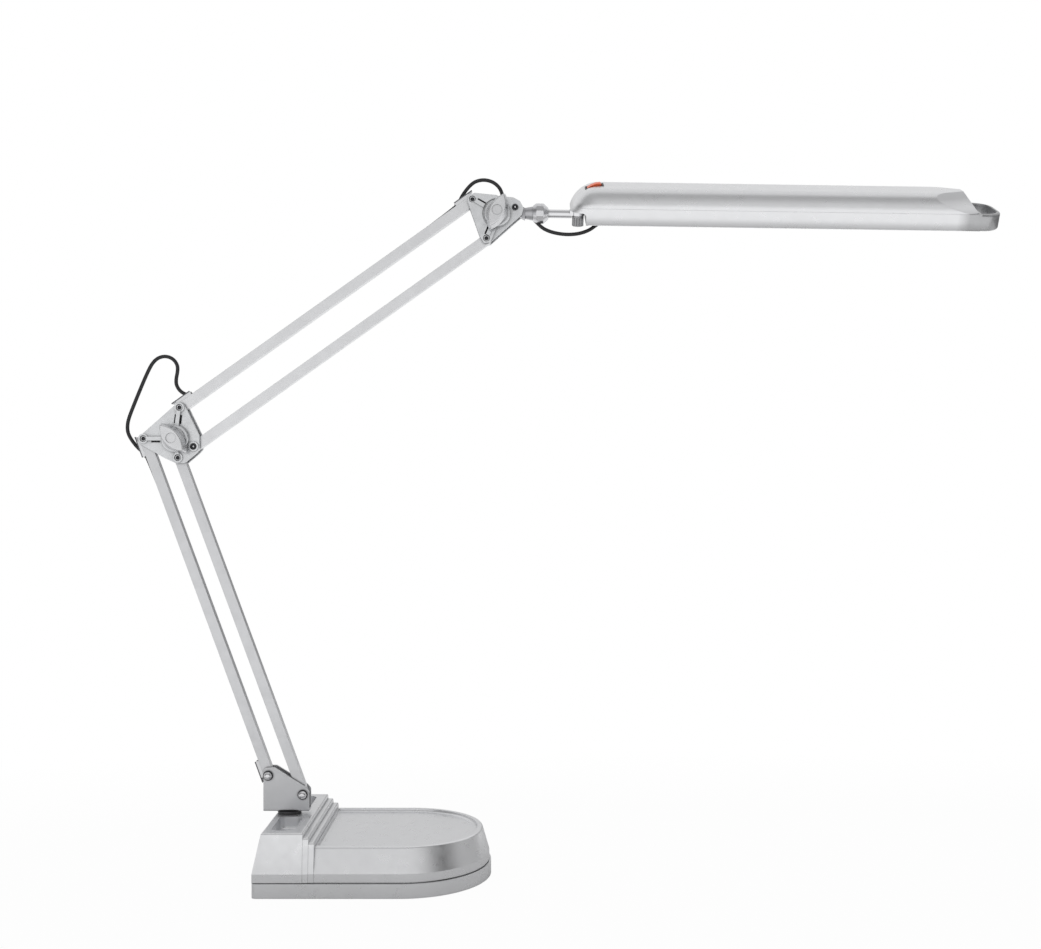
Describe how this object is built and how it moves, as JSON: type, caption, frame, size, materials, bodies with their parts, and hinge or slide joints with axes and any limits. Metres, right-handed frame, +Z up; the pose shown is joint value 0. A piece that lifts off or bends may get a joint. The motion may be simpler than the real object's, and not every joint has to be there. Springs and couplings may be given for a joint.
{
  "type": "swing-arm desk lamp",
  "caption": "Desk lamp with a weighted D-shaped base and pen tray, two parallelogram arms with wing-knob clamps, and a long shade for a compact fluorescent tube.",
  "frame": {"origin": "on the desk plane, under the middle of the base", "axes": "+X from the base's square back to its round nose and along the arms, +Y away from the side the knobs are on, +Z up"},
  "size_m": [0.8869, 0.172, 0.7093],
  "materials": {
    "silver_cast": "satin silver paint",
    "silver_plastic": "satin silver",
    "silver_steel": "satin silver paint",
    "bright_steel": "polished plated steel",
    "plain_steel": "plain",
    "dark_metal": "dark satin",
    "collar_metal": "satin",
    "dark_plastic": "matt",
    "white_plastic": "moulded",
    "pad_foam": "matt",
    "ballast_iron": "as cast",
    "cord_black": "satin",
    "reflector_white": "gloss white",
    "tube_glass": "coated inside with white phosphor",
    "switch_red": "gloss orange-red"
  },
  "bodies": {
    "base": {"base_pad": "pad_foam", "base_tray": "silver_plastic", "base_shell": "silver_plastic", "ballast_weight": "ballast_iron", "base_screws": "plain_steel", "pivot_bush": "dark_plastic", "thrust_washer": "dark_metal"},
    "swivel": {"spindle": "plain_steel", "spindle_clip": "plain_steel", "spindle_nut": "plain_steel", "bracket": "silver_steel", "bracket_bolts": "bright_steel", "bracket_nuts": "bright_steel", "bracket_washers": "dark_plastic"},
    "lower_rear_arm": {"lower_rear_bar": "silver_steel", "lower_cord_guides": "silver_steel", "lower_channel_cord": "cord_black"},
    "lower_front_arm": {"lower_front_bar": "silver_steel"},
    "elbow": {"elbow_casting_near": "silver_cast", "elbow_casting_far": "silver_cast", "elbow_screws": "dark_metal", "elbow_washers": "dark_plastic", "elbow_spacer": "dark_plastic", "elbow_stud": "bright_steel", "elbow_cord_lower": "cord_black", "elbow_cord_upper": "cord_black"},
    "elbow_clamp": {"elbow_knob": "silver_plastic"},
    "upper_top_arm": {"upper_top_bar": "silver_steel", "upper_cord_guides": "silver_steel", "upper_channel_cord": "cord_black"},
    "upper_bottom_arm": {"upper_bottom_bar": "silver_steel"},
    "head_joint": {"head_casting_near": "silver_cast", "head_casting_far": "silver_cast", "head_joint_screws": "dark_metal", "head_joint_washers": "dark_plastic", "head_joint_spacer": "dark_plastic", "head_joint_stud": "bright_steel", "head_joint_cord": "cord_black"},
    "head_joint_clamp": {"head_joint_knob": "silver_plastic"},
    "neck": {"tilt_neck": "dark_metal"},
    "stem": {"stem_collar": "collar_metal", "stem_rod": "bright_steel"},
    "head": {"head_shell": "silver_plastic", "head_frame": "silver_plastic", "clamp_bolt": "bright_steel", "clamp_nut": "dark_plastic", "gear_box": "white_plastic", "cord_gland": "dark_plastic", "lamp_holder": "white_plastic", "lamp_cap": "white_plastic", "lamp_tube": "tube_glass", "reflector": "reflector_white", "tube_clip": "plain_steel", "switch_housing": "dark_plastic", "head_cord": "cord_black"},
    "switch": {"switch_rocker": "switch_red"}
  },
  "joints": [
    {"name": "arm_swivel", "type": "hinge", "parent": "base", "child": "swivel", "pos_m": [-0.092, 0, 0.0662], "axis": [0, 0, 1], "continuous": true},
    {"name": "lower_arm_lean", "type": "hinge", "parent": "swivel", "child": "lower_rear_arm", "pos_m": [-0.1125, 0, 0.1012], "axis": [0, 1, 0], "range_deg": [-23, 80]},
    {"name": "lower_front_follow", "type": "hinge", "parent": "swivel", "child": "lower_front_arm", "pos_m": [-0.07752, 0, 0.08181], "axis": [0, 1, 0], "range_deg": [-23, 80]},
    {"name": "elbow_follow", "type": "hinge", "parent": "lower_rear_arm", "child": "elbow", "pos_m": [-0.23896, 0, 0.44306], "axis": [0, 1, 0], "range_deg": [-80, 23], "deforming": ["elbow_cord_lower"]},
    {"name": "elbow_knob_turn", "type": "hinge", "parent": "elbow", "child": "elbow_clamp", "pos_m": [-0.20636, 0, 0.44296], "axis": [0, 1, 0], "range_deg": [0, 360]},
    {"name": "upper_arm_lift", "type": "hinge", "parent": "elbow", "child": "upper_top_arm", "pos_m": [-0.20236, 0, 0.47466], "axis": [0, 1, 0], "range_deg": [-50, 70], "deforming": ["elbow_cord_upper"]},
    {"name": "upper_bottom_follow", "type": "hinge", "parent": "elbow", "child": "upper_bottom_arm", "pos_m": [-0.18813, 0, 0.43514], "axis": [0, 1, 0], "range_deg": [-50, 70]},
    {"name": "head_joint_follow", "type": "hinge", "parent": "upper_top_arm", "child": "head_joint", "pos_m": [0.09476, 0, 0.68581], "axis": [0, 1, 0], "range_deg": [-70, 50], "deforming": ["head_joint_cord"]},
    {"name": "head_knob_turn", "type": "hinge", "parent": "head_joint", "child": "head_joint_clamp", "pos_m": [0.12006, 0, 0.67141], "axis": [0, 1, 0], "range_deg": [0, 360]},
    {"name": "head_tilt", "type": "hinge", "parent": "head_joint", "child": "neck", "pos_m": [0.13806, 0, 0.67811], "axis": [0, 1, 0], "range_deg": [-60, 35]},
    {"name": "head_roll", "type": "hinge", "parent": "neck", "child": "stem", "pos_m": [0.2022, 0, 0.6725], "axis": [0.9999, 0, -0.0148], "range_deg": [-116, 64]},
    {"name": "head_swing", "type": "hinge", "parent": "stem", "child": "head", "pos_m": [0.2022, 0, 0.6725], "axis": [0.0133, -0.4384, 0.8987], "range_deg": [-35, 35], "deforming": ["head_cord"]},
    {"name": "switch_rock", "type": "hinge", "parent": "head", "child": "switch", "pos_m": [0.21827, -0.01202, 0.69691], "axis": [0.0065, 0.8988, 0.4383], "range_deg": [0, 12]}
  ],
  "couplings": [
    {"joint": "lower_front_follow", "follows": "lower_arm_lean", "ratio": 1},
    {"joint": "elbow_follow", "follows": "lower_arm_lean", "ratio": -1},
    {"joint": "upper_bottom_follow", "follows": "upper_arm_lift", "ratio": 1},
    {"joint": "head_joint_follow", "follows": "upper_arm_lift", "ratio": -1}
  ]
}
